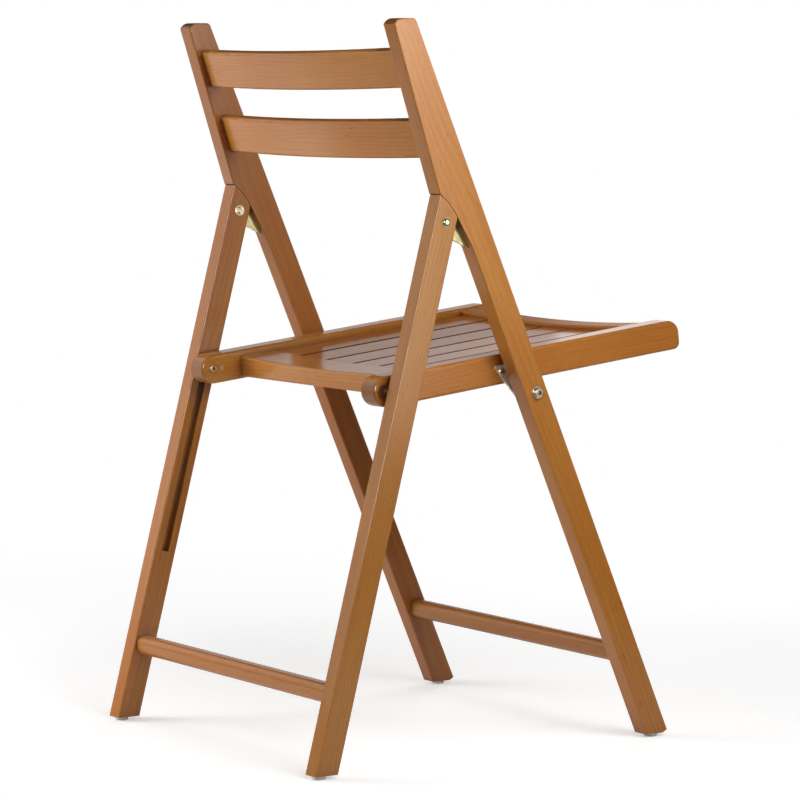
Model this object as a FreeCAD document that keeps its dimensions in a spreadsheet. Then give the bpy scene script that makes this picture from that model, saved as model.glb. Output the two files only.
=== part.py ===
"""Folding wooden chair: two long posts, two rear legs, a slatted seat and the metal that joins them.

Frame: millimetres, +Z up, the chair faces -Y, its right side is -X, origin on the floor in the middle.
The chair is built open. The rear legs turn about the hinge bolts and the seat about the pivot bolts.
"""
import FreeCAD
import Part
import Sketcher
import math
import os

V = FreeCAD.Vector
doc = FreeCAD.newDocument("folding_chair")
sheet = doc.addObject("Spreadsheet::Sheet", "dims")

DIMS = {
    # overall
    "overall_width": 441.5,          # across the outer wood faces of the posts
    "chair_height": 805.0,
    "member_thickness": 21.3,        # posts and rear legs, across the chair
    "glide_thickness": 4.0,
    "glide_radius": 7.5,
    # posts: front edge y = post_foot + post_lean * z
    "post_foot": -222.55,
    "post_lean": 0.437,
    "post_low_depth": 32.1,          # front to rear, level, below the hinge
    "post_seam_depth": 49.6,         # at the seam
    "post_top_depth": 29.85,
    "post_top_drop": 6.6,            # the rounded rear corner: height and run
    "post_top_run": 13.0,
    "seam_height": 619.0,
    "seam_radius": 78.0,
    "shoulder_y": 72.85,
    "shoulder_z": 591.8,
    "shoulder_root_z": 565.0,
    # rear legs: rear edge y = leg_foot - leg_rake * z
    "leg_foot": 256.75,
    "leg_rake": 0.26,
    "leg_depth": 28.9,
    "arris_radius": 1.4,             # eased long edges of posts and rear legs
    "seam_gap": 0.85,                # between the post's hollow and the leg's round top
    "hinge_y": 89.45,
    "hinge_z": 588.0,
    "hinge_bolt_radius": 2.5,
    "hinge_plate_thickness": 3.0,
    "kerf_width": 3.8,
    "groove_width": 9.0,
    "groove_depth": 9.0,
    "groove_top": 184.5,             # first and last place of the pin, down the leg from the hinge
    "groove_end": 402.5,
    # stretchers
    "front_stretcher_z": 98.0,
    "front_stretcher_depth": 18.0,
    "front_stretcher_height": 22.0,
    "rear_stretcher_z": 87.0,
    "rear_stretcher_depth": 21.0,
    "rear_stretcher_height": 21.5,
    "stretcher_round": 8.0,
    "tenon_radius": 6.0,
    "tenon_length": 12.0,
    # back slats
    "back_tilt": 18.8,
    "back_slat_height": 43.5,
    "back_slat_thickness": 12.0,
    "back_slat_radius": 2097.0,
    "back_slat_sag": 9.5,
    "back_slat_housing": 9.0,
    "upper_slat_y": 134.05,
    "upper_slat_z": 751.4,
    "lower_slat_y": 107.85,
    "lower_slat_z": 676.5,
    # seat, in its own frame: u runs back along the side rail's top, w stands square to it
    "seat_origin_y": 19.65,
    "seat_origin_z": 438.2,
    "seat_pitch": 6.73,
    "rail_outer": 192.0,             # half the width over the side rails
    "rail_thickness": 28.0,
    "rail_height": 33.5,
    "rail_front_u": -274.5,
    "rail_rear_u": 128.5,            # centre of the half-round rear end
    "cross_tenon": 12.0,
    "rear_rail_u": 93.0,
    "rear_rail_depth": 47.0,
    "rear_rail_bottom": -31.3,
    "rear_rail_edge": -6.5,
    "rear_rail_radius": 2864.0,
    "front_rail_u": -222.5,
    "front_rail_depth": 28.0,
    "front_rail_bottom": -31.0,
    "front_rail_edge": -1.4,
    "front_rail_radius": 2226.0,
    "seat_slat_width": 50.0,
    "seat_slat_pitch": 54.0,
    "seat_slat_thickness": 10.0,
    "seat_slat_low": -12.2,
    "seat_slat_rise": 4.6,
    "tongue_length": 8.0,
    "tongue_thickness": 4.0,
    # seat pivot and guide
    "pivot_u": -48.1,
    "pivot_w": -44.6,
    "pivot_bolt_radius": 4.0,
    "pivot_plate_thickness": 3.0,
    "pivot_washer_radius": 7.0,
    "pivot_head_radius": 5.6,
    "guide_u": 118.6,
    "guide_w": -16.75,
    "guide_plate_thickness": 2.0,
    "guide_pin_radius": 4.0,
    "guide_bolt_radius": 2.5,
    "running_gap": 0.05,
    "side_gap": 0.3,
}

for row, (alias, value) in enumerate(DIMS.items(), start=1):
    sheet.set("A%d" % row, alias)
    sheet.set("B%d" % row, str(value))
    sheet.setAlias("B%d" % row, alias)
doc.recompute()

HALF = DIMS["overall_width"] / 2
INNER = HALF - DIMS["member_thickness"]
HINGE = (DIMS["hinge_y"], DIMS["hinge_z"])
SIDES = (("right", -1), ("left", 1))
YZ = FreeCAD.Rotation(V(1, 1, 1), 120)        # sketch x, y and normal become Y, Z and X
XZ = FreeCAD.Rotation(V(1, 0, 0), 90)         # sketch x, y and normal become X, Z and -Y
XY = FreeCAD.Rotation()


def value_of(term):
    """Return a term as a number; a string is an expression on the sheet."""
    if isinstance(term, str):
        term = sheet.evalExpression(term)
    return float(getattr(term, "Value", term))


def bind(obj, prop, term):
    """Set a property from an expression string or a plain number."""
    if isinstance(term, str):
        obj.setExpression(prop, term)
    else:
        setattr(obj, prop, term)


def arc_centre(start, end, radius):
    """Centre of the arc from start to end; a negative radius runs clockwise."""
    chord = V(end[0] - start[0], end[1] - start[1], 0)
    rise = math.sqrt(max(radius ** 2 - chord.Length ** 2 / 4, 0.0))
    side = V(-chord.y, chord.x, 0) / chord.Length * (rise if radius > 0 else -rise)
    return V((start[0] + end[0]) / 2, (start[1] + end[1]) / 2, 0) + side


def outline(name, points, rotation, base):
    """Closed sketch. Each point is (x, y) or (x, y, radius of a counter-clockwise arc to the next).

    A negative radius runs clockwise. String coordinates stay bound to the sheet.
    """
    sketch = doc.addObject("Sketcher::SketchObject", name)
    sketch.Placement = FreeCAD.Placement(V(*[value_of(b) for b in base]), rotation)
    for axis, term in zip("xyz", base):
        if isinstance(term, str):
            sketch.setExpression("Placement.Base." + axis, term)
    spots = [(value_of(p[0]), value_of(p[1])) for p in points]
    ends = []
    for i, point in enumerate(points):
        a = V(*spots[i], 0)
        b = V(*spots[(i + 1) % len(points)], 0)
        if len(point) == 2:
            sketch.addGeometry(Part.LineSegment(a, b), False)
            ends.append((1, 2))
            continue
        radius = value_of(point[2])
        centre = arc_centre(a, b, radius)
        circle = Part.Circle(centre, V(0, 0, 1), abs(radius))
        angle_a = math.atan2(a.y - centre.y, a.x - centre.x)
        angle_b = math.atan2(b.y - centre.y, b.x - centre.x)
        if radius > 0:
            sketch.addGeometry(Part.ArcOfCircle(circle, angle_a, angle_b), False)
            ends.append((1, 2))
        else:
            sketch.addGeometry(Part.ArcOfCircle(circle, angle_b, angle_a), False)
            ends.append((2, 1))
    count = len(points)
    for i, point in enumerate(points):
        j = (i + 1) % count
        sketch.addConstraint(Sketcher.Constraint("Coincident", i, ends[i][1], j, ends[j][0]))
        pairs = (("DistanceX", point[0], spots[i][0]), ("DistanceY", point[1], spots[i][1]))
        for kind, term, number in pairs:
            spot = sketch.addConstraint(Sketcher.Constraint(kind, -1, 1, i, ends[i][0], number))
            if isinstance(term, str):
                sketch.setExpression("Constraints[%d]" % spot, term)
        if len(point) == 3:
            sketch.addConstraint(Sketcher.Constraint("Radius", i, abs(value_of(point[2]))))
    return sketch


def prism(name, points, length, rotation=YZ, base=(0, 0, 0)):
    """Solid swept from an outline, square to its plane, by a bound length."""
    sketch = outline(name + "_outline", points, rotation, base)
    body = doc.addObject("Part::Extrusion", name)
    body.Base = sketch
    body.DirMode = "Normal"
    body.Solid = True
    bind(body, "LengthFwd", length)
    return body


def rod(name, radius, length, base, along="X"):
    """Cylinder from a base point, bound to the sheet where strings are given."""
    body = doc.addObject("Part::Cylinder", name)
    bind(body, "Radius", radius)
    bind(body, "Height", length)
    turn = {"X": FreeCAD.Rotation(V(0, 1, 0), 90), "Z": FreeCAD.Rotation()}[along]
    body.Placement = FreeCAD.Placement(V(*[value_of(b) for b in base]), turn)
    for axis, term in zip("xyz", base):
        if isinstance(term, str):
            body.setExpression("Placement.Base." + axis, term)
    return body


def box(name, size, base, turn=None):
    """Box with bound sides, from its low corner."""
    body = doc.addObject("Part::Box", name)
    for prop, term in zip(("Length", "Width", "Height"), size):
        bind(body, prop, term)
    body.Placement = FreeCAD.Placement(V(*[value_of(b) for b in base]), turn or FreeCAD.Rotation())
    for axis, term in zip("xyz", base):
        if isinstance(term, str):
            body.setExpression("Placement.Base." + axis, term)
    return body


def cut(name, base, tools):
    """Base with every tool taken out of it."""
    tool = tools[0]
    if len(tools) > 1:
        tool = doc.addObject("Part::Compound", name + "_tools")
        tool.Links = tools
    body = doc.addObject("Part::Cut", name)
    body.Base = base
    body.Tool = tool
    return body


def fuse(name, shapes):
    """One solid from several that meet."""
    body = doc.addObject("Part::MultiFuse", name)
    body.Shapes = shapes
    body.Refine = True
    return body


def group(name, shapes):
    """Separate like solids kept as one sub-part."""
    body = doc.addObject("Part::Compound", name)
    body.Links = shapes
    return body


def ease(name, base, radius, wanted):
    """Round the edges of base that wanted(edge) picks."""
    doc.recompute()
    picked = [i for i, edge in enumerate(base.Shape.Edges, start=1) if wanted(edge)]
    body = doc.addObject("Part::Fillet", name)
    body.Base = base
    body.Edges = [(i, radius, radius) for i in picked]
    return body


def at_x(edge, *spots):
    """True when the whole edge lies in one of the planes x = spot."""
    low, high = edge.BoundBox.XMin, edge.BoundBox.XMax
    return high - low < 1e-4 and any(abs(low - spot) < 1e-3 for spot in spots)


def seat_frame(body):
    """Tip a body built in the seat's own frame into the chair."""
    body.Placement = FreeCAD.Placement(V(0, DIMS["seat_origin_y"], DIMS["seat_origin_z"]),
                                       FreeCAD.Rotation(V(1, 0, 0), -DIMS["seat_pitch"]))
    body.setExpression("Placement.Base.y", "dims.seat_origin_y")
    body.setExpression("Placement.Base.z", "dims.seat_origin_z")
    body.setExpression("Placement.Rotation.Angle", "-dims.seat_pitch")
    return body


def seat_point(u, w):
    """Chair Y and Z of a point given in the seat's frame."""
    pitch = math.radians(DIMS["seat_pitch"])
    y = DIMS["seat_origin_y"] + u * math.cos(pitch) + w * math.sin(pitch)
    z = DIMS["seat_origin_z"] - u * math.sin(pitch) + w * math.cos(pitch)
    return y, z


def polar(centre, radius, degrees):
    """Point at an angle on a circle in the side view."""
    turn = math.radians(degrees)
    return (centre[0] + radius * math.cos(turn), centre[1] + radius * math.sin(turn))


def socket_head(name, radius, height, base, outward, key=2.5, dome=0.8):
    """Round bolt head with a hexagon socket, standing out from base along X."""
    low = base[0] if outward > 0 else base[0] - height
    blank = rod(name + "_blank", radius, height, (low, base[1], base[2]))
    face = low + height if outward > 0 else low
    head = ease(name + "_round", blank, dome, lambda e: at_x(e, face))
    key_hole = doc.addObject("Part::Prism", name + "_key")
    key_hole.Polygon = 6
    key_hole.Circumradius = key
    key_hole.Height = height * 0.7
    start = face if outward < 0 else face - height * 0.7
    key_hole.Placement = FreeCAD.Placement(V(start, base[1], base[2]), FreeCAD.Rotation(V(0, 1, 0), 90))
    return cut(name + "_socket", head, [key_hole])


def domed_head(name, base, outward, radius=4.3, height=2.9, flange=5.5, flange_height=0.8):
    """Domed bolt head on a thin flange, standing out from base along X."""
    low = base[0] if outward > 0 else base[0] - height
    blank = rod(name + "_blank", radius, height, (low, base[1], base[2]))
    face = low + height if outward > 0 else low
    dome = ease(name + "_dome", blank, 2.0, lambda e: at_x(e, face))
    rim_low = base[0] if outward > 0 else base[0] - flange_height
    return [dome, rod(name + "_flange", flange, flange_height, (rim_low, base[1], base[2]))]


nodes = []


def finish(body, label):
    """Name a finished sub-part and queue it for export."""
    body.Label = label
    nodes.append(body)
    return body


# ---------------------------------------------------------------- cross members of the posts
def back_slat(name, y, z):
    """Back slat: bowed to the rear, leaned with the posts' rear edges, housed in both posts."""
    reach = "dims.overall_width / 2 - dims.member_thickness + dims.back_slat_housing"
    end = INNER + DIMS["back_slat_housing"]
    rear = DIMS["back_slat_sag"] - end ** 2 / (2 * DIMS["back_slat_radius"])
    front = rear - DIMS["back_slat_thickness"]
    points = [("-(%s)" % reach, front, "-dims.back_slat_radius"), (reach, front),
              (reach, rear, "dims.back_slat_radius"), ("-(%s)" % reach, rear)]
    half = "dims.back_slat_height / 2"
    blank = prism(name + "_blank", points, "dims.back_slat_height", XY, (0, 0, "-" + half))
    body = ease(name, blank, 3.5, lambda e: e.BoundBox.XLength > 300)
    body.Placement = FreeCAD.Placement(V(0, value_of(y), value_of(z)),
                                       FreeCAD.Rotation(V(1, 0, 0), -DIMS["back_tilt"]))
    body.setExpression("Placement.Base.y", y)
    body.setExpression("Placement.Base.z", z)
    body.setExpression("Placement.Rotation.Angle", "-dims.back_tilt")
    return finish(body, name)


def stretcher(name, y, z, depth, height):
    """Rounded rail between two legs with a round tenon at each end."""
    span = "dims.overall_width - 2 * dims.member_thickness"
    bar = box(name + "_bar", (span, depth, height), ("-(%s) / 2" % span, "%s - %s / 2" % (y, depth),
                                                     "%s - %s / 2" % (z, height)))
    bar = ease(name + "_rounded", bar, DIMS["stretcher_round"], lambda e: e.BoundBox.XLength > 300)
    length = "%s + 2 * dims.tenon_length" % span
    pin = rod(name + "_tenons", "dims.tenon_radius", length, ("-(%s) / 2" % length, y, z))
    return finish(fuse(name, [bar, pin]), name)


upper_slat = back_slat("upper_back_slat", "dims.upper_slat_y", "dims.upper_slat_z")
lower_slat = back_slat("lower_back_slat", "dims.lower_slat_y", "dims.lower_slat_z")
front_stretcher = stretcher(
    "front_stretcher",
    "(dims.post_foot + dims.post_lean * dims.front_stretcher_z + dims.post_low_depth / 2)",
    "dims.front_stretcher_z", "dims.front_stretcher_depth", "dims.front_stretcher_height")
rear_stretcher = stretcher(
    "rear_stretcher",
    "(dims.leg_foot - dims.leg_rake * dims.rear_stretcher_z - dims.leg_depth / 2)",
    "dims.rear_stretcher_z", "dims.rear_stretcher_depth", "dims.rear_stretcher_height")

# ---------------------------------------------------------------- posts, legs and what joins them
PIVOT = seat_point(DIMS["pivot_u"], DIMS["pivot_w"])


def post_front(z):
    return "dims.post_foot + dims.post_lean * (%s)" % z


def post_rear(z):
    return "%s + dims.post_low_depth" % post_front(z)


def post_back(z):
    """Rear edge above the seam: the post tapers evenly to its top."""
    share = "(%s - dims.seam_height) / (dims.chair_height - dims.seam_height)" % z
    depth = "dims.post_seam_depth + (dims.post_top_depth - dims.post_seam_depth) * %s" % share
    return "%s + %s" % (post_front(z), depth)


def leg_rear(z):
    return "dims.leg_foot - dims.leg_rake * (%s)" % z


def leg_front(z):
    return "%s - dims.leg_depth" % leg_rear(z)


def along_leg(distance):
    """Point on a rear leg's centre line, measured down from the hinge."""
    size = math.hypot(DIMS["leg_rake"], 1)
    return (HINGE[0] + distance * DIMS["leg_rake"] / size, HINGE[1] - distance / size)


top = "dims.chair_height"
drop = DIMS["post_top_drop"]
corner_start = post_back(top + " - dims.post_top_drop")
corner_end = post_back(top) + " - dims.post_top_run"
corner_run = value_of(corner_start) - value_of(corner_end)
POST_OUTLINE = [
    (post_rear("dims.glide_thickness"), "dims.glide_thickness"),
    (post_rear("dims.shoulder_root_z"), "dims.shoulder_root_z"),
    ("dims.shoulder_y", "dims.shoulder_z", "-dims.seam_radius"),
    (post_back("dims.seam_height"), "dims.seam_height"),
    (corner_start, top + " - dims.post_top_drop", (corner_run ** 2 + drop ** 2) / (2 * drop)),
    (corner_end, top),
    (post_front(top), top),
    (post_front("dims.glide_thickness + 3.5"), "dims.glide_thickness + 3.5"),
    (post_front("dims.glide_thickness") + " + 7.5", "dims.glide_thickness"),
]


def leg_edge_meets(centre, radius, edge):
    """Height at which a leg edge, y = edge - leg_rake * z, leaves a circle at its upper end."""
    slope = DIMS["leg_rake"]
    offset = edge - centre[0]
    a = 1 + slope ** 2
    b = -2 * (slope * offset + centre[1])
    c = offset ** 2 + centre[1] ** 2 - radius ** 2
    return (-b + math.sqrt(b * b - 4 * a * c)) / (2 * a)


# the leg's top follows the seam's centre, then turns about the hinge so that it clears the post
seam = arc_centre((DIMS["shoulder_y"], DIMS["shoulder_z"]),
                  (value_of(post_back("dims.seam_height")), DIMS["seam_height"]), -DIMS["seam_radius"])
crown_radius = DIMS["seam_radius"] - DIMS["seam_gap"]
crown_z = leg_edge_meets(seam, crown_radius, DIMS["leg_foot"])
reach = math.hypot(HINGE[0] - seam.x, HINGE[1] - seam.y)
nose_radius = crown_radius - reach
nose = polar(HINGE, nose_radius, math.degrees(math.atan2(HINGE[1] - seam.y, HINGE[0] - seam.x)))
nose_end_z = leg_edge_meets(HINGE, nose_radius, DIMS["leg_foot"] - DIMS["leg_depth"])
LEG_OUTLINE = [
    (leg_front("dims.glide_thickness"), "dims.glide_thickness"),
    (leg_rear("dims.glide_thickness"), "dims.glide_thickness"),
    (leg_rear(str(crown_z)), crown_z, crown_radius),
    (nose[0], nose[1], nose_radius),
    (leg_front(str(nose_end_z)), nose_end_z),
]
plate_low = polar(HINGE, 11.0, 295.0)
plate_high = polar(HINGE, 11.0, 84.0)
PLATE_OUTLINE = [
    (HINGE[0] - 46.4, HINGE[1] - 33.9),
    (plate_low[0], plate_low[1], 11.0),
    (plate_high[0], plate_high[1]),
    (HINGE[0] - 36.8, HINGE[1] + 15.0),
]


def kerf_tool(name, x):
    """Saw kerf in a rear leg that leaves the hinge plate free through the whole fold."""
    low = polar(HINGE, 11.5, 333.4)
    high = polar(HINGE, 11.5, 84.0)
    points = [polar(low, 80.0, 243.4), low, high, polar(high, 60.0, 174.0)]
    wedge = prism(name + "_wedge", points, "dims.kerf_width", YZ, (x, 0, 0))
    bore = rod(name + "_bore", 11.5, "dims.kerf_width", (x, HINGE[0], HINGE[1]))
    return fuse(name, [wedge, bore])


for side, sign in SIDES:
    outer = sign * HALF
    low_x = "-dims.overall_width / 2" if sign < 0 else "dims.overall_width / 2 - dims.member_thickness"
    mid_x = sign * (HALF - DIMS["member_thickness"] / 2)
    faces = (outer, sign * INNER)

    # hinge plate let into the post
    plate_blank = prism(side + "_hinge_plate_blank", PLATE_OUTLINE, "dims.hinge_plate_thickness", YZ,
                        ("%.3f - dims.hinge_plate_thickness / 2" % mid_x, 0, 0))
    plate_bore = rod(side + "_hinge_plate_bore", "dims.hinge_bolt_radius + dims.running_gap", 8.0,
                     (mid_x - 4, "dims.hinge_y", "dims.hinge_z"))
    hinge_plate = finish(cut(side + "_hinge_plate_cut", plate_blank, [plate_bore]), side + "_hinge_plate")

    # pivot hardware held by the post
    spacer_reach = INNER - (DIMS["rail_outer"] + DIMS["pivot_plate_thickness"] + DIMS["side_gap"])
    shank_in = DIMS["rail_outer"] - 4.6
    shank_out = HALF + 1.2
    shank_low = -shank_out if sign < 0 else shank_in
    shank = rod(side + "_pivot_shank", "dims.pivot_bolt_radius", shank_out - shank_in, (shank_low,) + PIVOT)
    head = socket_head(side + "_pivot_head", DIMS["pivot_head_radius"], 3.6,
                       (sign * shank_out,) + PIVOT, sign, 2.9, 1.2)
    pivot_bolt = finish(fuse(side + "_pivot_bolt_body", [shank, head]), side + "_pivot_bolt")

    # post
    post = prism(side + "_post_blank", POST_OUTLINE, "dims.member_thickness", YZ, (low_x, 0, 0))
    post = ease(side + "_post_front_corner", post, 5.5,
                lambda e: e.BoundBox.ZMin > 800 and e.BoundBox.YMax < 132 and e.BoundBox.XLength > 10)
    post = ease(side + "_post_eased", post, DIMS["arris_radius"],
                lambda e: at_x(e, *faces) and (e.Length > 100 or e.BoundBox.ZMin > 780))
    post_bore = rod(side + "_post_bore", "dims.pivot_bolt_radius", 60.0, (outer - 30,) + PIVOT)
    post = cut(side + "_post_cut", post, [upper_slat, lower_slat, front_stretcher, plate_blank, post_bore])
    finish(post, side + "_post")

    # rear leg
    leg = prism(side + "_leg_blank", LEG_OUTLINE, "dims.member_thickness", YZ, (low_x, 0, 0))
    leg = ease(side + "_leg_eased", leg, DIMS["arris_radius"],
               lambda e: at_x(e, *faces) and e.Length > 100)
    wide = DIMS["groove_width"] / 2
    first = along_leg(DIMS["groove_top"])
    last = along_leg(DIMS["groove_end"] + wide)
    across = math.degrees(math.atan2(-1, DIMS["leg_rake"])) - 90
    groove_points = [polar(last, wide, across), polar(last, -wide, across),
                     polar(first, -wide, across) + (wide,), polar(first, wide, across)]
    groove_x = INNER - 1 if sign > 0 else -INNER - DIMS["groove_depth"]
    groove = prism(side + "_groove", groove_points, "dims.groove_depth + 1", YZ, (groove_x, 0, 0))
    leg_bore = rod(side + "_leg_bore", "dims.hinge_bolt_radius", 60.0,
                   (outer - 30, "dims.hinge_y", "dims.hinge_z"))
    kerf = kerf_tool(side + "_kerf", "%.3f - dims.kerf_width / 2" % mid_x)
    leg = cut(side + "_leg_cut", leg, [groove, kerf, leg_bore, rear_stretcher])
    finish(leg, side + "_rear_leg")

    # hinge bolt held by the leg
    bolt_low = -HALF - 0.4 if sign < 0 else INNER - 4.6
    bolt = rod(side + "_hinge_shank", "dims.hinge_bolt_radius", DIMS["member_thickness"] + 5.0,
               (bolt_low, "dims.hinge_y", "dims.hinge_z"))
    cap_parts = domed_head(side + "_hinge_head", (outer,) + HINGE, sign)
    finish(fuse(side + "_hinge_bolt_body", [bolt] + cap_parts), side + "_hinge_bolt")


def ring(name, outer_radius, bore, length, low_x, at, round_over=0.3):
    """Washer or spacer along X."""
    blank = rod(name + "_blank", outer_radius, length, (low_x,) + at)
    faces = (low_x, low_x + value_of(length))
    soft = ease(name + "_soft", blank, round_over, lambda e: at_x(e, *faces))
    hole = rod(name + "_hole", bore, 30.0, (low_x - 10,) + at)
    return cut(name, soft, [hole])


def nut(name, across_corners, bore, length, low_x, at):
    """Hexagon nut along X."""
    blank = doc.addObject("Part::Prism", name + "_blank")
    blank.Polygon = 6
    blank.Circumradius = across_corners
    blank.Height = length
    blank.Placement = FreeCAD.Placement(V(low_x, *at), FreeCAD.Rotation(V(0, 1, 0), 90))
    hole = rod(name + "_hole", bore, 30.0, (low_x - 10,) + at)
    return cut(name, blank, [hole])


def pair(name, maker, *sizes, start, length, at):
    """The same fastener on both sides, start being its inner |x|."""
    made = []
    for side, sign in SIDES:
        low = start if sign > 0 else -start - length
        made.append(maker(side + "_" + name, *sizes, length, low, at))
    return finish(group(name, made), name)


pivot_r = "dims.pivot_bolt_radius"
pair("pivot_washers", ring, "dims.pivot_washer_radius", pivot_r, start=HALF, length=1.2, at=PIVOT)
pair("pivot_spacers", ring, 6.5, pivot_r, start=INNER - spacer_reach, length=spacer_reach, at=PIVOT)
pair("pivot_nuts", nut, 6.6, pivot_r, start=DIMS["rail_outer"] - 4.3, length=4.0, at=PIVOT)
pair("hinge_washers", ring, 6.2, "dims.hinge_bolt_radius", start=INNER - 1.0, length=1.0, at=HINGE)
pair("hinge_nuts", nut, 4.5, "dims.hinge_bolt_radius", start=INNER - 4.0, length=3.0, at=HINGE)

# ---------------------------------------------------------------- glides under the feet
glide_z = "dims.glide_thickness"
foot_y = {
    "front": "dims.post_foot + dims.post_lean * dims.glide_thickness + dims.post_low_depth / 2 + 2.0",
    "rear": "dims.leg_foot - dims.leg_rake * dims.glide_thickness - dims.leg_depth / 2 + 4.0",
}
for side, sign in SIDES:
    for end in ("front", "rear"):
        disc = rod("%s_%s_glide_disc" % (side, end), "dims.glide_radius", glide_z,
                   ("%d * (dims.overall_width - dims.member_thickness) / 2" % sign, foot_y[end], 0), "Z")
        glide = ease("%s_%s_glide" % (side, end), disc, 1.0, lambda e: e.BoundBox.ZMax < 0.01)
        finish(glide, "%s_%s_glide" % (side, end))

# ---------------------------------------------------------------- seat
rail_inner = DIMS["rail_outer"] - DIMS["rail_thickness"]
RAIL_OUTLINE = [
    ("dims.rail_front_u + 8", "-dims.rail_height"),
    ("dims.rail_rear_u", "-dims.rail_height", "dims.rail_height / 2 + 0.0001"),
    ("dims.rail_rear_u", 0.0),
    ("dims.rail_front_u + 15", 0.0, 15.0),
    ("dims.rail_front_u", -15.0),
    ("dims.rail_front_u", "-dims.rail_height + 8", 8.0),
]


def cross_rail(name, rear_u, depth, bottom, edge, radius, tenon_u, tenon_w):
    """Rail across the seat with a dished top and a tenon into each side rail."""
    half = "(dims.rail_outer - dims.rail_thickness)"
    points = [("-" + half, bottom), (half, bottom), (half, edge, "-" + radius), ("-" + half, edge)]
    blank = prism(name + "_blank", points, depth, XZ, (0, rear_u, 0))
    soft = ease(name + "_soft", blank, 2.5, lambda e: e.BoundBox.XLength > 300)
    tenon = box(name + "_tenon", ("2 * (%s + dims.cross_tenon)" % half, tenon_u[1], tenon_w[1]),
                ("-(%s + dims.cross_tenon)" % half, tenon_u[0], tenon_w[0]))
    return fuse(name + "_whole", [soft, tenon]), tenon


rear_rail, rear_tenon = cross_rail(
    "seat_rear_rail", "dims.rear_rail_u", "dims.rear_rail_depth", "dims.rear_rail_bottom",
    "dims.rear_rail_edge", "dims.rear_rail_radius", (56.0, 28.0), (-27.0, 10.0))
front_rail, front_tenon = cross_rail(
    "seat_front_rail", "dims.front_rail_u", "dims.front_rail_depth", "dims.front_rail_bottom",
    "dims.front_rail_edge", "dims.front_rail_radius", (-244.5, 16.0), (-26.0, 16.0))

slat_front = DIMS["front_rail_u"]
slat_length = "dims.rear_rail_u - dims.rear_rail_depth - dims.front_rail_u"
half_width = DIMS["seat_slat_pitch"] * 3
tongues = []
slats = []
for i in range(6):
    x = (i - 2.5) * DIMS["seat_slat_pitch"]
    lift = DIMS["seat_slat_low"] + DIMS["seat_slat_rise"] * (x / half_width) ** 2
    tip = -math.degrees(math.atan(2 * DIMS["seat_slat_rise"] * x / half_width ** 2))
    turn = FreeCAD.Rotation(V(0, 1, 0), tip)
    name = "seat_slat_%d" % (i + 1)
    low_corner = V(-DIMS["seat_slat_width"] / 2, 0, -DIMS["seat_slat_thickness"])
    corner = V(x, slat_front, lift) + turn.multVec(low_corner)
    size = ("dims.seat_slat_width", slat_length, "dims.seat_slat_thickness")
    board = box(name + "_board", size, corner, turn)
    board = ease(name + "_soft", board, 1.5, lambda e: e.BoundBox.YLength > 200)
    corner = V(x, slat_front - DIMS["tongue_length"], lift) + turn.multVec(V(-22, 0, -8.0))
    size = (44.0, slat_length + " + 2 * dims.tongue_length", "dims.tongue_thickness")
    tongue = box(name + "_tongue", size, corner, turn)
    tongues.append(tongue)
    slats.append(finish(seat_frame(fuse(name, [board, tongue])), name))

finish(seat_frame(cut("seat_rear_rail_cut", rear_rail, tongues)), "seat_rear_rail")
finish(seat_frame(cut("seat_front_rail_cut", front_rail, tongues)), "seat_front_rail")

PIVOT_PLATE_OUTLINE = [
    (-16.5, -12.0),
    (-64.9, -12.0, 3.0),
    (-67.0, -15.1),
    (-58.41, -48.43, 11.0),
    (-38.85, -50.56),
    (-14.3, -16.0, 3.0),
]
GUIDE_PLATE_OUTLINE = [(101.5, -24.5), (134.5, -22.5, 7.4), (136.0, -8.5), (103.0, -11.5, 6.6)]
GUIDE_SPOTS = {"bolt": (131.0, -15.2), "screw": (106.5, -18.3)}
plate_screw_spots = ((-21.0, -19.0), (-61.0, -19.0))
screws = []
guide_bolts = []
guide_nuts = []
guide_screws = []


def wood_screw(name, sign, face, spot, head_radius, head_height, shank_radius, depth):
    """Pan-head screw driven inward from a face at |x| = face."""
    low = face if sign > 0 else -face - head_height
    blank = rod(name + "_pan", head_radius, head_height, (low, spot[0], spot[1]))
    tip = low + head_height if sign > 0 else low
    pan = ease(name + "_dome", blank, head_height * 0.6, lambda e: at_x(e, tip))
    half = head_radius * 0.55
    sunk = head_height * 0.5
    start = tip - sunk if sign > 0 else tip
    slots = [box(name + "_slot_a", (sunk, 2 * half, 0.8), (start, spot[0] - half, spot[1] - 0.4)),
             box(name + "_slot_b", (sunk, 0.8, 2 * half), (start, spot[0] - 0.4, spot[1] - half))]
    pan = cut(name + "_cross", pan, slots)
    shank_low = face - depth if sign > 0 else -face
    shank = rod(name + "_shank", shank_radius, depth, (shank_low, spot[0], spot[1]))
    return fuse(name, [pan, shank]), shank


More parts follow.
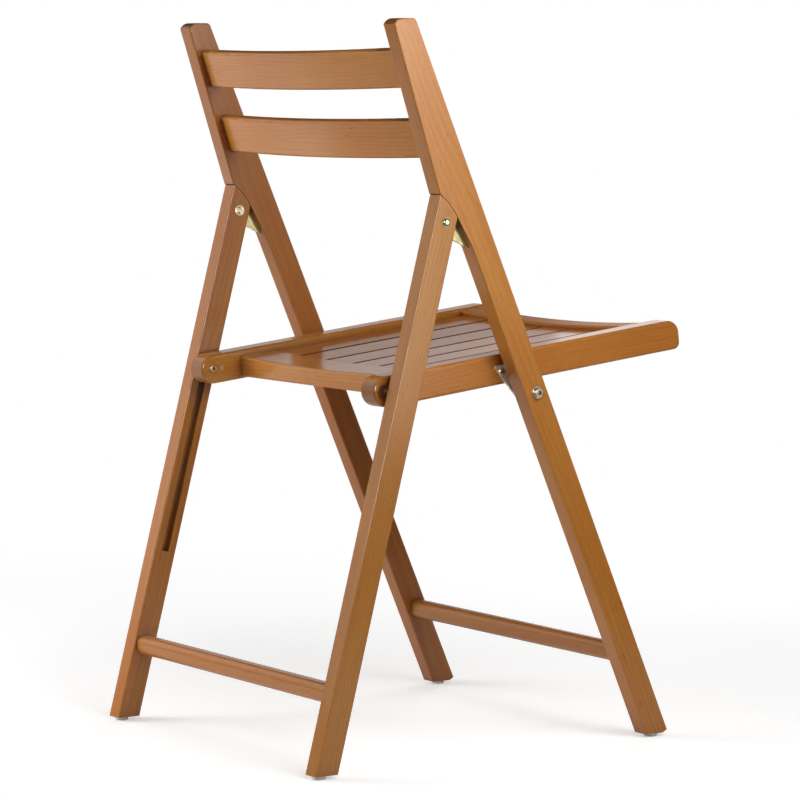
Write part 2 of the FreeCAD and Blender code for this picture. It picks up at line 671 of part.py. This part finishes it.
for side, sign in SIDES:
    outer_x = "dims.rail_outer" if sign > 0 else "-dims.rail_outer"
    low_x = "dims.rail_outer - dims.rail_thickness" if sign > 0 else "-dims.rail_outer"
    faces = (sign * DIMS["rail_outer"], sign * rail_inner)

    # pivot plate on the rail's outer face
    plate_x = outer_x if sign > 0 else "-dims.rail_outer - dims.pivot_plate_thickness"
    plate = prism(side + "_pivot_plate_blank", PIVOT_PLATE_OUTLINE, "dims.pivot_plate_thickness",
                  YZ, (plate_x, 0, 0))
    bore = rod(side + "_pivot_plate_bore", "dims.pivot_bolt_radius + dims.running_gap", 10.0,
               (sign * DIMS["rail_outer"] - 5, "dims.pivot_u", "dims.pivot_w"))
    shanks = []
    for n, spot in enumerate(plate_screw_spots, start=1):
        face = DIMS["rail_outer"] + DIMS["pivot_plate_thickness"]
        screw, shank = wood_screw("%s_plate_screw_%d" % (side, n), sign, face, spot, 3.8, 1.8, 1.8, 18.0)
        screws.append(screw)
        shanks.append(shank)
    finish(seat_frame(cut(side + "_pivot_plate_cut", plate, [bore] + shanks)), side + "_pivot_plate")

    # guide plate with its pin, a through bolt behind it and a screw in front
    thick = DIMS["guide_plate_thickness"]
    strip_low = DIMS["rail_outer"] if sign > 0 else -DIMS["rail_outer"] - thick
    strip = prism(side + "_guide_strip", GUIDE_PLATE_OUTLINE, "dims.guide_plate_thickness",
                  YZ, (strip_low, 0, 0))
    pin_reach = INNER - DIMS["side_gap"] - DIMS["rail_outer"]
    pin_low = DIMS["rail_outer"] if sign > 0 else -DIMS["rail_outer"] - pin_reach
    spot = ("dims.guide_u", "dims.guide_w")
    pin = rod(side + "_guide_pin", "dims.guide_pin_radius", pin_reach, (pin_low,) + spot)
    tail_low = rail_inner if sign > 0 else -DIMS["rail_outer"]
    tail = rod(side + "_guide_tail", 2.6, "dims.rail_thickness", (tail_low,) + spot)
    u, w = GUIDE_SPOTS["bolt"]
    length = DIMS["rail_thickness"] + thick + 2.5
    bolt_low = rail_inner if sign > 0 else -rail_inner - length
    stem = rod(side + "_guide_stem", "dims.guide_bolt_radius", length, (bolt_low, u, w))
    head = socket_head(side + "_guide_head", 4.3, 2.6, (sign * rail_inner, u, w), -sign, 2.0, 1.0)
    guide_bolts.append(fuse(side + "_guide_bolt", [stem, head]))
    nut_low = DIMS["rail_outer"] + thick if sign > 0 else -DIMS["rail_outer"] - thick - 2.0
    guide_nuts.append(nut(side + "_guide_nut", 4.2, "dims.guide_bolt_radius", 2.0, nut_low, (u, w)))
    screw, screw_shank = wood_screw(side + "_guide_screw", sign, DIMS["rail_outer"] + thick,
                                    GUIDE_SPOTS["screw"], 3.2, 1.6, 1.6, 16.0)
    guide_screws.append(screw)
    strip = cut(side + "_guide_strip_cut", strip, [stem, screw_shank])
    finish(seat_frame(fuse(side + "_guide_plate_whole", [strip, pin, tail])), side + "_guide_plate")

    # side rail
    rail = prism(side + "_rail_blank", RAIL_OUTLINE, "dims.rail_thickness", YZ, (low_x, 0, 0))
    rail = ease(side + "_rail_soft", rail, 3.0, lambda e: at_x(e, *faces))
    tools = [rear_tenon, front_tenon, tail, stem, screw_shank] + shanks
    finish(seat_frame(cut(side + "_rail_cut", rail, tools)), side + "_seat_rail")

finish(seat_frame(group("plate_screws", screws)), "plate_screws")
finish(seat_frame(group("guide_bolts", guide_bolts)), "guide_bolts")
finish(seat_frame(group("guide_nuts", guide_nuts)), "guide_nuts")
finish(seat_frame(group("guide_screws", guide_screws)), "guide_screws")

# ---------------------------------------------------------------- check and export
doc.recompute()
for obj in doc.Objects:
    if "Invalid" in obj.State or "Error" in obj.State:
        raise RuntimeError("%s did not build: %s" % (obj.Name, obj.State))
os.makedirs("parts", exist_ok=True)
for body in nodes:
    if body.Shape.isNull() or not body.Shape.isValid():
        raise RuntimeError("%s has no valid shape" % body.Label)
    body.Shape.exportStep("parts/%s.step" % body.Label)
    print(body.Label, len(body.Shape.Solids), round(body.Shape.Volume / 1000, 2), "cm3")
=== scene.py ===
"""Looks for the folding chair: lacquered hardwood, plated steel and moulded glides on the CAD frame."""
import math

import bpy
from mathutils import Matrix, Vector


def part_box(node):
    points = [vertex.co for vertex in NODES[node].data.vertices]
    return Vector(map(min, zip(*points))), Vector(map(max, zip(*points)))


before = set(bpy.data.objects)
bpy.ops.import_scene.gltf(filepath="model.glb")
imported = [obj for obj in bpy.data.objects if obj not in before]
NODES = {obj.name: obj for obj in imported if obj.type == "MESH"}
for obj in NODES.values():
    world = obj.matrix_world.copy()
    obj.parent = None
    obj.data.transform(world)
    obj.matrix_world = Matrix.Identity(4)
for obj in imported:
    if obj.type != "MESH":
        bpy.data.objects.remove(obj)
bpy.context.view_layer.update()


# ---------------------------------------------------------------- material helper
AO_SAMPLES = 4


class Graph:
    """A material's node tree, grown by small calls that return output sockets."""

    def __init__(self, name):
        self.material = bpy.data.materials.new(name)
        self.material.use_nodes = True
        self.tree = self.material.node_tree
        self.tree.nodes.clear()

    def node(self, kind, inputs=None, **settings):
        """Add a shader node; inputs maps a socket's name or number to a value or a socket."""
        made = self.tree.nodes.new("ShaderNode" + kind)
        for key, value in settings.items():
            setattr(made, key, value)
        for key, value in (inputs or {}).items():
            if isinstance(value, bpy.types.NodeSocket):
                self.tree.links.new(value, made.inputs[key])
            else:
                made.inputs[key].default_value = value
        return made

    def math(self, operation, a, b=0.0, c=0.0, clamp=False):
        return self.node("Math", {0: a, 1: b, 2: c}, operation=operation, use_clamp=clamp).outputs[0]

    def dot(self, a, b):
        return self.node("VectorMath", {0: a, 1: b}, operation="DOT_PRODUCT").outputs["Value"]

    def length(self, vector):
        return self.node("VectorMath", {0: vector}, operation="LENGTH").outputs["Value"]

    def vector(self, x, y, z):
        return self.node("CombineXYZ", {0: x, 1: y, 2: z}).outputs[0]

    def noise(self, vector, scale=1.0, detail=2.0, roughness=0.5):
        inputs = {"Vector": vector, "Scale": scale, "Detail": detail, "Roughness": roughness}
        return self.node("TexNoise", inputs).outputs["Fac"]

    def scratches(self, place, scale):
        """Noise drawn out into fine lines by an uneven scale."""
        stretched = self.node("Mapping", {"Vector": place, "Scale": scale}).outputs[0]
        return self.noise(stretched, detail=3.0)

    def remap(self, value, low, high, to_low=0.0, to_high=1.0):
        """Smooth step from low..high to to_low..to_high."""
        inputs = {"Value": value, "From Min": low, "From Max": high, "To Min": to_low, "To Max": to_high}
        return self.node("MapRange", inputs, interpolation_type="SMOOTHSTEP").outputs["Result"]

    def mix(self, share, a, b):
        return self.node("Mix", {0: share, 6: a, 7: b}, data_type="RGBA").outputs[2]

    def ramp(self, value, stops):
        made = self.node("ValToRGB", {"Fac": value})
        elements = made.color_ramp.elements
        while len(elements) < len(stops):
            elements.new(0.5)
        for element, (position, color) in zip(elements, stops):
            element.position = position
            element.color = color
        return made.outputs["Color"]

    def openness(self, reach):
        """1 in the open, falling to 0 where surfaces crowd within reach."""
        return self.node("AmbientOcclusion", {"Distance": reach}, samples=AO_SAMPLES).outputs["AO"]

    def edges(self, reach):
        """1 on convex edges within reach, 0 on flats."""
        made = self.node("AmbientOcclusion", {"Distance": reach}, inside=True, only_local=True,
                         samples=AO_SAMPLES)
        return self.math("SUBTRACT", 1.0, made.outputs["AO"], clamp=True)

    def bump(self, height, depth, strength):
        inputs = {"Height": height, "Distance": depth, "Strength": strength}
        return self.node("Bump", inputs).outputs["Normal"]

    def surface(self, **sockets):
        """Principled shader; sockets are its inputs' names with _ for a space."""
        inputs = {key.replace("_", " "): value for key, value in sockets.items()}
        shader = self.node("BsdfPrincipled", inputs)
        self.node("OutputMaterial", {"Surface": shader.outputs[0]})
        return self.material


def rgb(red, green, blue):
    """Linear colour."""
    return (red, green, blue, 1.0)


def tinted(base, tint):
    return rgb(*(value * share for value, share in zip(base, tint)))


# ---------------------------------------------------------------- wood
# lengths in metres; each noise scale is so many cells to the metre
RING_SPACING = 0.0042
RING_SWAY = 0.034
FIBRE_WIDTH = 0.0011
PORE_WIDTH = 0.00045
ARRIS_REACH = 0.0025
TIGHT_REACH = 0.009
NEAR_REACH = 0.05
GRAIN_DEPTH = 0.00010
SKIN_DEPTH = 0.00010

DEEP_WOOD = (0.385, 0.122, 0.0165)
MIDDLE_WOOD = (0.490, 0.178, 0.0270)
PALE_WOOD = (0.580, 0.236, 0.0420)
CLOUD_WOOD = (0.500, 0.158, 0.0215)
END_WOOD = (0.200, 0.070, 0.0140)
PORE = rgb(0.150, 0.042, 0.008)
FLECK = rgb(0.120, 0.034, 0.007)
# painted shade, with some stain, for the slats' sides that face a gap
GAP_SHADE_AND_STAIN = rgb(0.040, 0.013, 0.008)
# paler wood of worn arrises, also a painted highlight along them
WORN_AND_HIGHLIT_WOOD = rgb(0.66, 0.36, 0.150)
# painted shade, with some dust, for the tight places, and a fainter painted shade near other pieces
TIGHT_SHADE_AND_DUST = rgb(0.050, 0.012, 0.003)
NEAR_PAINTED_SHADE = rgb(0.160, 0.045, 0.010)


class Board:
    """Coordinates of one board's grain: u along it, v and w across, shifted by a seed."""

    def __init__(self, g, along, across, seed):
        self.g = g
        self.along = Vector(along).normalized()
        self.across = Vector(across).normalized()
        texture = g.node("TexCoord").outputs
        self.place = texture["Object"]
        self.normal = texture["Normal"]
        self.u = g.math("ADD", g.dot(self.place, self.along), 0.37 * seed)
        self.v = g.math("ADD", g.dot(self.place, self.across), 0.05 + 0.031 * (seed % 5))
        third = self.along.cross(self.across)
        self.w = g.math("ADD", g.dot(self.place, third), 0.11 - 0.023 * (seed % 4))

    def noise(self, per_length, per_width, detail=2.0, roughness=0.5):
        """Noise with its own scale along the grain and across it."""
        g = self.g
        point = g.vector(g.math("MULTIPLY", self.u, per_length), g.math("MULTIPLY", self.v, per_width),
                         g.math("MULTIPLY", self.w, per_width))
        return g.noise(point, detail=detail, roughness=roughness)

    def rings(self):
        """Growth rings round a pith that runs slightly out of line with the board."""
        g = self.g
        sway = g.math("MULTIPLY", self.noise(2.2, 9.0, detail=3.0), RING_SWAY)
        radius = g.length(g.vector(g.math("MULTIPLY", self.u, 0.05), self.v, self.w))
        turn = g.math("DIVIDE", g.math("ADD", radius, sway), RING_SPACING)
        wave = g.math("SINE", g.math("MULTIPLY", turn, 2 * math.pi))
        return g.math("MULTIPLY_ADD", wave, 0.5, 0.5)

    def facing(self, direction):
        """1 where the surface faces along a direction or against it."""
        return self.g.math("ABSOLUTE", self.g.dot(self.normal, direction))


def figured(board, streaks, fibres, tint, figure):
    """Base colour of the wood: rings, streaks, fibres and slow drift, as strong as figure says."""
    g = board.g
    drift = board.noise(2.6, 12.0, detail=1.0)
    tone = g.math("MULTIPLY_ADD", board.rings(), 0.08 * figure, g.math("MULTIPLY", streaks, 0.27 * figure))
    tone = g.math("MULTIPLY_ADD", fibres, 0.13 * figure, tone)
    tone = g.math("MULTIPLY_ADD", drift, 0.52 * figure, tone)
    tone = g.math("ADD", tone, 0.5 * (1 - figure))
    color = g.ramp(tone, [(0.30, tinted(DEEP_WOOD, tint)), (0.50, tinted(MIDDLE_WOOD, tint)),
                          (0.70, tinted(PALE_WOOD, tint))])
    clouds = g.remap(board.noise(6.0, 22.0), 0.35, 0.68, 0.0, 0.50)
    return g.mix(clouds, color, tinted(CLOUD_WOOD, tint))


def end_stain_and_gap_shade(board, color, tint, shaded_gap_sides):
    """Stain drunk by the end grain and, where asked, painted shade with some stain on the long sides that
    face a gap.
    """
    g = board.g
    end = g.remap(board.facing(board.along), 0.45, 0.90)
    color = g.mix(g.math("MULTIPLY", end, 0.70), color, tinted(END_WOOD, tint))
    if shaded_gap_sides:
        # painted shade on the long sides that face a gap
        side = g.remap(board.facing(board.across), 0.22, 0.60)
        color = g.mix(g.math("MULTIPLY", side, 0.90), color, GAP_SHADE_AND_STAIN)
    return color


def crevice_shade_and_dust(g, color):
    """Painted shade: dark in the tight places, with some dust, and a fainter painted shade near other
    pieces.
    """
    color = g.mix(g.remap(g.openness(TIGHT_REACH), 0.10, 0.75, 0.92, 0.0), color, TIGHT_SHADE_AND_DUST)
    return g.mix(g.remap(g.openness(NEAR_REACH), 0.35, 0.85, 0.45, 0.0), color, NEAR_PAINTED_SHADE)


def wood(name, along, across, seed, tint, figure, coat, shaded_gap_sides):
    """Lacquered hardwood with its grain along one member."""
    g = Graph(name)
    board = Board(g, along, across, seed)
    streaks = board.noise(5.0, 230.0, detail=3.0, roughness=0.6)
    fibres = board.noise(36.0, 1 / FIBRE_WIDTH, roughness=0.65)
    pores = g.remap(board.noise(150.0, 1 / PORE_WIDTH, detail=1.0), 0.60, 0.72)
    flecks = g.remap(board.noise(85.0, 620.0, detail=1.0), 0.70, 0.78)

    color = figured(board, streaks, fibres, tint, figure)
    color = g.mix(g.math("MULTIPLY", pores, 0.30), color, PORE)
    color = g.mix(g.math("MULTIPLY", flecks, 0.45), color, FLECK)
    color = end_stain_and_gap_shade(board, color, tint, shaded_gap_sides)

    # handled arrises: the lacquer is thinner and the wood paler, and the paleness is also a painted
    # highlight along the arris
    worn_and_highlit = g.math("MULTIPLY", g.remap(g.edges(ARRIS_REACH), 0.20, 0.62),
                  g.remap(board.noise(30.0, 120.0), 0.3, 0.7))
    color = g.mix(g.math("MULTIPLY", worn_and_highlit, 0.60), color, WORN_AND_HIGHLIT_WOOD)
    # painted shade in the crevices and near other pieces
    color = crevice_shade_and_dust(g, color)

    roughness = g.math("MULTIPLY_ADD", streaks, 0.16, 0.36)
    roughness = g.math("MULTIPLY_ADD", worn_and_highlit, 0.10, roughness)
    relief = g.math("SUBTRACT", g.math("MULTIPLY", fibres, 0.35), g.math("ADD", pores, flecks))
    normal = g.bump(relief, GRAIN_DEPTH, 0.45)
    skin = g.bump(g.noise(board.place, scale=190.0, detail=1.0), SKIN_DEPTH, 0.35)
    return g.surface(Base_Color=color, Roughness=roughness, Normal=normal, Specular_IOR_Level=0.15,
                     Coat_Weight=coat, Coat_Roughness=0.16, Coat_Normal=skin)


# ---------------------------------------------------------------- metal and plastic
EDGE_REACH = 0.0008
PLATING_DEPTH = 0.00004
RUBBED_METAL = rgb(0.90, 0.84, 0.72)
# grime with painted shade, laid where surfaces crowd
GRIME_AND_SHADE = rgb(0.020, 0.014, 0.008)
# painted reflection: the dark ring round the hinge bolts' domes
DARK_RIM_REFLECTION = rgb(0.20, 0.18, 0.07)
BOLT_LOW, BOLT_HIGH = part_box("right_hinge_bolt")
BOLT_Y, BOLT_Z = (BOLT_LOW.y + BOLT_HIGH.y) / 2, (BOLT_LOW.z + BOLT_HIGH.z) / 2


def painted_dark_rim(g, place, color):
    """Painted dark ring round the rim of the hinge bolts' heads, for the dark reflection there, measured
    from the line that both turn on.
    """
    parts = g.node("SeparateXYZ", {0: place}).outputs
    spoke = g.vector(0.0, g.math("SUBTRACT", parts["Y"], BOLT_Y), g.math("SUBTRACT", parts["Z"], BOLT_Z))
    return g.mix(g.remap(g.length(spoke), 0.0024, 0.0036, 0.0, 0.85), color, DARK_RIM_REFLECTION)


def plated(name, bright, dull, rough_low, rough_high, grime_and_shade_reach=0.004, rim=False):
    """Plated steel: clouded plating, fine scratches, rubbed edges, and grime with painted shade in the
    tight places.
    """
    g = Graph(name)
    place = g.node("TexCoord").outputs["Object"]
    clouds = g.noise(place, scale=260.0, detail=4.0, roughness=0.6)
    scratches = g.scratches(place, (900.0, 5200.0, 700.0))
    edge = g.remap(g.edges(EDGE_REACH), 0.25, 0.70)
    color = g.mix(g.remap(clouds, 0.35, 0.65), bright, dull)
    color = g.mix(g.math("MULTIPLY", edge, 0.5), color, RUBBED_METAL)
    # painted shade with grime where other surfaces crowd within reach
    color = g.mix(g.remap(g.openness(grime_and_shade_reach), 0.15, 0.80, 0.95, 0.0), color, GRIME_AND_SHADE)
    if rim:
        color = painted_dark_rim(g, place, color)
    polish = g.math("MULTIPLY_ADD", scratches, 0.5, g.math("MULTIPLY", clouds, 0.5))
    roughness = g.remap(polish, 0.35, 0.65, rough_low, rough_high)
    relief = g.math("MULTIPLY_ADD", scratches, 0.6, g.math("MULTIPLY", clouds, 0.4))
    normal = g.bump(relief, PLATING_DEPTH, 0.6)
    return g.surface(Base_Color=color, Metallic=1.0, Roughness=roughness, Normal=normal)


SCUFF_HEIGHT = 0.0010
MOULD_DEPTH = 0.00006
SCUFF = rgb(0.30, 0.28, 0.26)


def moulded(name):
    """Pale grey moulded plastic, scuffed where it meets the floor."""
    g = Graph(name)
    place = g.node("TexCoord").outputs["Object"]
    height = g.node("SeparateXYZ", {0: place}).outputs["Z"]
    mottle = g.noise(place, scale=420.0, detail=3.0)
    scuffs = g.scratches(place, (300.0, 1900.0, 300.0))
    color = g.mix(g.remap(mottle, 0.3, 0.7), rgb(0.90, 0.89, 0.90), rgb(0.96, 0.95, 0.96))
    dirt = g.math("MULTIPLY", g.remap(height, 0.0, SCUFF_HEIGHT, 1.0, 0.0), g.remap(scuffs, 0.42, 0.66))
    color = g.mix(g.math("MULTIPLY", dirt, 0.35), color, SCUFF)
    roughness = g.math("MULTIPLY_ADD", scuffs, 0.25, 0.38)
    normal = g.bump(g.math("ADD", mottle, scuffs), MOULD_DEPTH, 0.6)
    return g.surface(Base_Color=color, Roughness=roughness, Normal=normal)


# ---------------------------------------------------------------- what each node is made of
SEAT_DROP = math.radians(6.73)
X_AXIS = Vector((1, 0, 0))
POST_LINE = Vector((0, 0.437, 1.0))
LEG_LINE = Vector((0, -0.26, 1.0))
SEAT_LINE = Vector((0, math.cos(SEAT_DROP), -math.sin(SEAT_DROP)))
SLATS = 6
GLOSS = 0.85
WORN_GLOSS = 0.10        # the front rail's lacquer is worn by use
PLAIN_FIGURE = 0.55      # the stretchers' grain is quieter

# grain direction, direction across it, seed and tint of each board; the tints hold each board's own tone
# and also painted light and shade, darker on the far post and the front stretcher, lighter on the back
# slats and the rear rail
BOARDS = {
    "right_post": (POST_LINE, X_AXIS, 1, (0.93, 0.96, 0.84)),
    "left_post": (POST_LINE, X_AXIS, 2, (0.79, 0.75, 0.71)),
    "right_rear_leg": (LEG_LINE, X_AXIS, 3, (0.86, 0.92, 0.92)),
    "left_rear_leg": (LEG_LINE, X_AXIS, 4, (0.88, 0.85, 0.82)),
    "right_seat_rail": (SEAT_LINE, X_AXIS, 5, (0.92, 0.90, 0.76)),
    "left_seat_rail": (SEAT_LINE, X_AXIS, 6, (0.93, 0.95, 0.80)),
    "upper_back_slat": (X_AXIS, SEAT_LINE, 7, (1.11, 1.17, 1.35)),
    "lower_back_slat": (X_AXIS, SEAT_LINE, 8, (1.11, 1.17, 1.06)),
    "front_stretcher": (X_AXIS, SEAT_LINE, 9, (0.68, 0.70, 0.80)),
    "rear_stretcher": (X_AXIS, SEAT_LINE, 10, (0.92, 0.96, 0.99)),
    "seat_front_rail": (X_AXIS, SEAT_LINE, 11, (0.92, 0.90, 0.85)),
    "seat_rear_rail": (X_AXIS, SEAT_LINE, 12, (1.04, 1.09, 1.18)),
}
for number in range(1, SLATS + 1):
    slat_tint = (0.82 + 0.02 * (number % 4), 0.78, 0.82)
    BOARDS["seat_slat_%d" % number] = (SEAT_LINE, X_AXIS, 12 + number, slat_tint)

STEEL = plated("bright_steel", rgb(0.82, 0.76, 0.62), rgb(0.62, 0.56, 0.44), 0.24, 0.42)
POLISHED = plated("polished_steel", rgb(0.80, 0.76, 0.62), rgb(0.62, 0.58, 0.45), 0.14, 0.26, rim=True)
# the wider reach paints the shadow between the hinge plate and the post
YELLOW = plated("yellow_zinc", rgb(0.95, 0.90, 0.52), rgb(0.82, 0.76, 0.42), 0.34, 0.52, grime_and_shade_reach=0.008)
SHEET = plated("zinc_sheet", rgb(0.92, 0.88, 0.76), rgb(0.76, 0.72, 0.60), 0.42, 0.58, grime_and_shade_reach=0.002)
# painted shade: a dark brown finish on the near guide plate and nuts, which sit in deep shade
SHADE_DARK_STEEL = plated("shade_dark_steel", rgb(0.22, 0.11, 0.055), rgb(0.15, 0.07, 0.035), 0.45, 0.60)
COPPERED = plated("coppered_steel", rgb(0.78, 0.50, 0.40), rgb(0.62, 0.38, 0.30), 0.40, 0.55)
PLASTIC = moulded("grey_plastic")
FITTINGS = {
    "right_hinge_plate": YELLOW, "left_hinge_plate": YELLOW,
    "right_hinge_bolt": POLISHED, "left_hinge_bolt": POLISHED,
    "right_pivot_plate": SHEET, "left_pivot_plate": SHEET,
    "right_guide_plate": SHADE_DARK_STEEL, "guide_nuts": SHADE_DARK_STEEL,
    "left_guide_plate": COPPERED, "guide_screws": COPPERED,
    "right_front_glide": PLASTIC, "left_front_glide": PLASTIC,
    "right_rear_glide": PLASTIC, "left_rear_glide": PLASTIC,
}


def board_look(node):
    along, across, seed, tint = BOARDS[node]
    figure = PLAIN_FIGURE if node.endswith("stretcher") else 1.0
    coat = WORN_GLOSS if node == "seat_front_rail" else GLOSS
    return wood("wood_" + node, along, across, seed, tint, figure, coat, node.startswith("seat_slat"))


for node, obj in NODES.items():
    obj.data.materials.clear()
    obj.data.materials.append(board_look(node) if node in BOARDS else FITTINGS.get(node, STEEL))


# ---------------------------------------------------------------- stage
FLOOR_SIZE = 60.0
FLOOR_LIFT = 0.40        # keeps the paper near white round the chair
FADE_START, FADE_END = 0.4, 1.6
AMBIENT = 0.03
WHITE = rgb(1, 1, 1)
PAPER = rgb(0.86, 0.86, 0.86)
WARM = (1.0, 0.96, 0.85)
SHEEN_AHEAD = 0.02       # lamps in one place would share their light


def floor():
    """Plain pale floor that fades into the white surround away from the chair."""
    bpy.ops.mesh.primitive_grid_add(x_subdivisions=8, y_subdivisions=8, size=FLOOR_SIZE, location=(0, 0, 0))
    made = bpy.context.object
    made.name = "floor"
    g = Graph("pale_floor")
    away = g.length(g.node("TexCoord").outputs["Object"])
    seen = g.node("LightPath").outputs["Is Camera Ray"]
    paper = g.node("BsdfPrincipled", {"Base Color": PAPER, "Roughness": 0.9, "Specular IOR Level": 0.1})
    lift = g.node("Emission", {"Color": WHITE, "Strength": g.math("MULTIPLY", seen, FLOOR_LIFT)})
    lifted = g.node("AddShader", {0: paper.outputs[0], 1: lift.outputs[0]})
    glow = g.node("Emission", {"Color": WHITE, "Strength": seen})
    fade = g.remap(away, FADE_START, FADE_END)
    both = g.node("MixShader", {0: fade, 1: lifted.outputs[0], 2: glow.outputs[0]})
    g.node("OutputMaterial", {"Surface": both.outputs[0]})
    made.data.materials.append(g.material)


def surround():
    """White to the camera, and a faint even light."""
    world = bpy.data.worlds.new("studio")
    bpy.context.scene.world = world
    world.use_nodes = True
    tree = world.node_tree
    tree.nodes.clear()
    path = tree.nodes.new("ShaderNodeLightPath")
    level = tree.nodes.new("ShaderNodeMapRange")
    level.inputs["To Min"].default_value = AMBIENT
    level.inputs["To Max"].default_value = 1.0
    tree.links.new(path.outputs["Is Camera Ray"], level.inputs["Value"])
    white = tree.nodes.new("ShaderNodeBackground")
    white.inputs["Color"].default_value = WHITE
    tree.links.new(level.outputs["Result"], white.inputs["Strength"])
    out = tree.nodes.new("ShaderNodeOutputWorld")
    tree.links.new(white.outputs[0], out.inputs["Surface"])


def softbox(name, place, target, width, height, matte=0.0, sheen=0.0, tone=(1.0, 1.0, 1.0)):
    """Rectangular soft light turned to a target; matte is its radiance for colour, and sheen for gloss."""
    aim = (Vector(target) - Vector(place)).normalized()
    turn = aim.to_track_quat("-Z", "Y")
    for part, radiance, ahead in (("matte", matte, 0.0), ("sheen", sheen, SHEEN_AHEAD)):
        if radiance == 0.0:
            continue
        data = bpy.data.lights.new(name + "_" + part, "AREA")
        data.shape = "RECTANGLE"
        data.size = width
        data.size_y = height
        data.energy = radiance * math.pi * width * height
        data.color = tone
        lamp = bpy.data.objects.new(name + "_" + part, data)
        lamp.location = Vector(place) + aim * ahead
        lamp.rotation_mode = "QUATERNION"
        lamp.rotation_quaternion = turn
        lamp.visible_camera = False
        lamp.visible_diffuse = part == "matte"
        lamp.visible_glossy = part == "sheen"
        bpy.context.scene.collection.objects.link(lamp)


def lights():
    """Broad lamps for colour, and pale cards that show only in the lacquer and the metal."""
    softbox("key_high", (-1.20, 0.10, 1.20), (0, 0, 0.5), 0.9, 0.9, matte=3.1)
    softbox("key_top", (-0.70, -0.05, 1.00), (-0.2, 0.05, 0.6), 0.5, 0.5, matte=3.9)
    softbox("key_front", (-0.70, -0.45, 0.70), (-0.2, -0.1, 0.4), 0.5, 0.5, matte=1.0)
    softbox("rear_foot", (0.70, 1.00, 0.22), (0.2, 0.25, 0.15), 0.35, 0.30, matte=5.5)
    softbox("rear_low", (0.30, 1.80, 0.50), (0, 0.1, 0.5), 1.2, 0.8, matte=1.9)
    softbox("side", (1.31, 0.50, 0.75), (0.1, 0.1, 0.5), 0.7, 1.4, matte=1.3, sheen=0.8)
    softbox("side_rear", (1.20, 1.30, 0.90), (0.1, 0.1, 0.5), 0.9, 1.2, matte=4.2, sheen=0.45)
    softbox("front_left", (2.00, -1.35, 0.80), (0, 0, 0.45), 1.3, 0.7, matte=0.8, sheen=0.6)
    softbox("front", (1.10, -1.70, 0.70), (0, 0, 0.45), 1.2, 1.0, matte=3.8, sheen=0.8)
    softbox("card", (-2.12, -0.98, 0.62), (-0.2, 0.1, 0.5), 0.40, 0.95, sheen=4.2, tone=WARM)
    softbox("card_top", (-2.12, -0.95, 0.98), (-0.2, 0.1, 0.75), 0.36, 0.45, sheen=5.0, tone=WARM)
    softbox("floor_card", (1.30, 0.75, 0.02), (1.30, 0.75, 1.0), 0.9, 0.9, sheen=0.5)
    softbox("arris_card", (-1.05, 1.30, 0.90), (-0.2, 0.1, 0.45), 0.7, 0.7, sheen=19.0, tone=WARM)


CAMERA_PLACE = (-3.291163, 2.244664, 0.736943)
AZIMUTH, ELEVATION, ROLL = (math.radians(angle) for angle in (235.681, 5.175, 0.11))
LENS = 157.70            # millimetres, on a sensor 36 mm wide


def camera():
    """Camera off the chair's rear right corner, looking slightly down."""
    back = Vector((math.sin(AZIMUTH) * math.cos(ELEVATION), -math.cos(AZIMUTH) * math.cos(ELEVATION),
                   math.sin(ELEVATION)))
    level = Vector((math.cos(AZIMUTH), math.sin(AZIMUTH), 0))
    rise = back.cross(level)
    right = level * math.cos(ROLL) + rise * math.sin(ROLL)
    up = rise * math.cos(ROLL) - level * math.sin(ROLL)
    data = bpy.data.cameras.new("camera")
    data.sensor_width = 36.0
    data.lens = LENS
    data.clip_start = 0.1
    data.clip_end = 100.0
    made = bpy.data.objects.new("camera", data)
    made.matrix_world = Matrix.Translation(CAMERA_PLACE) @ Matrix((right, up, back)).transposed().to_4x4()
    bpy.context.scene.collection.objects.link(made)
    bpy.context.scene.camera = made


floor()
surround()
lights()
camera()
bpy.context.scene.view_settings.view_transform = "Standard"
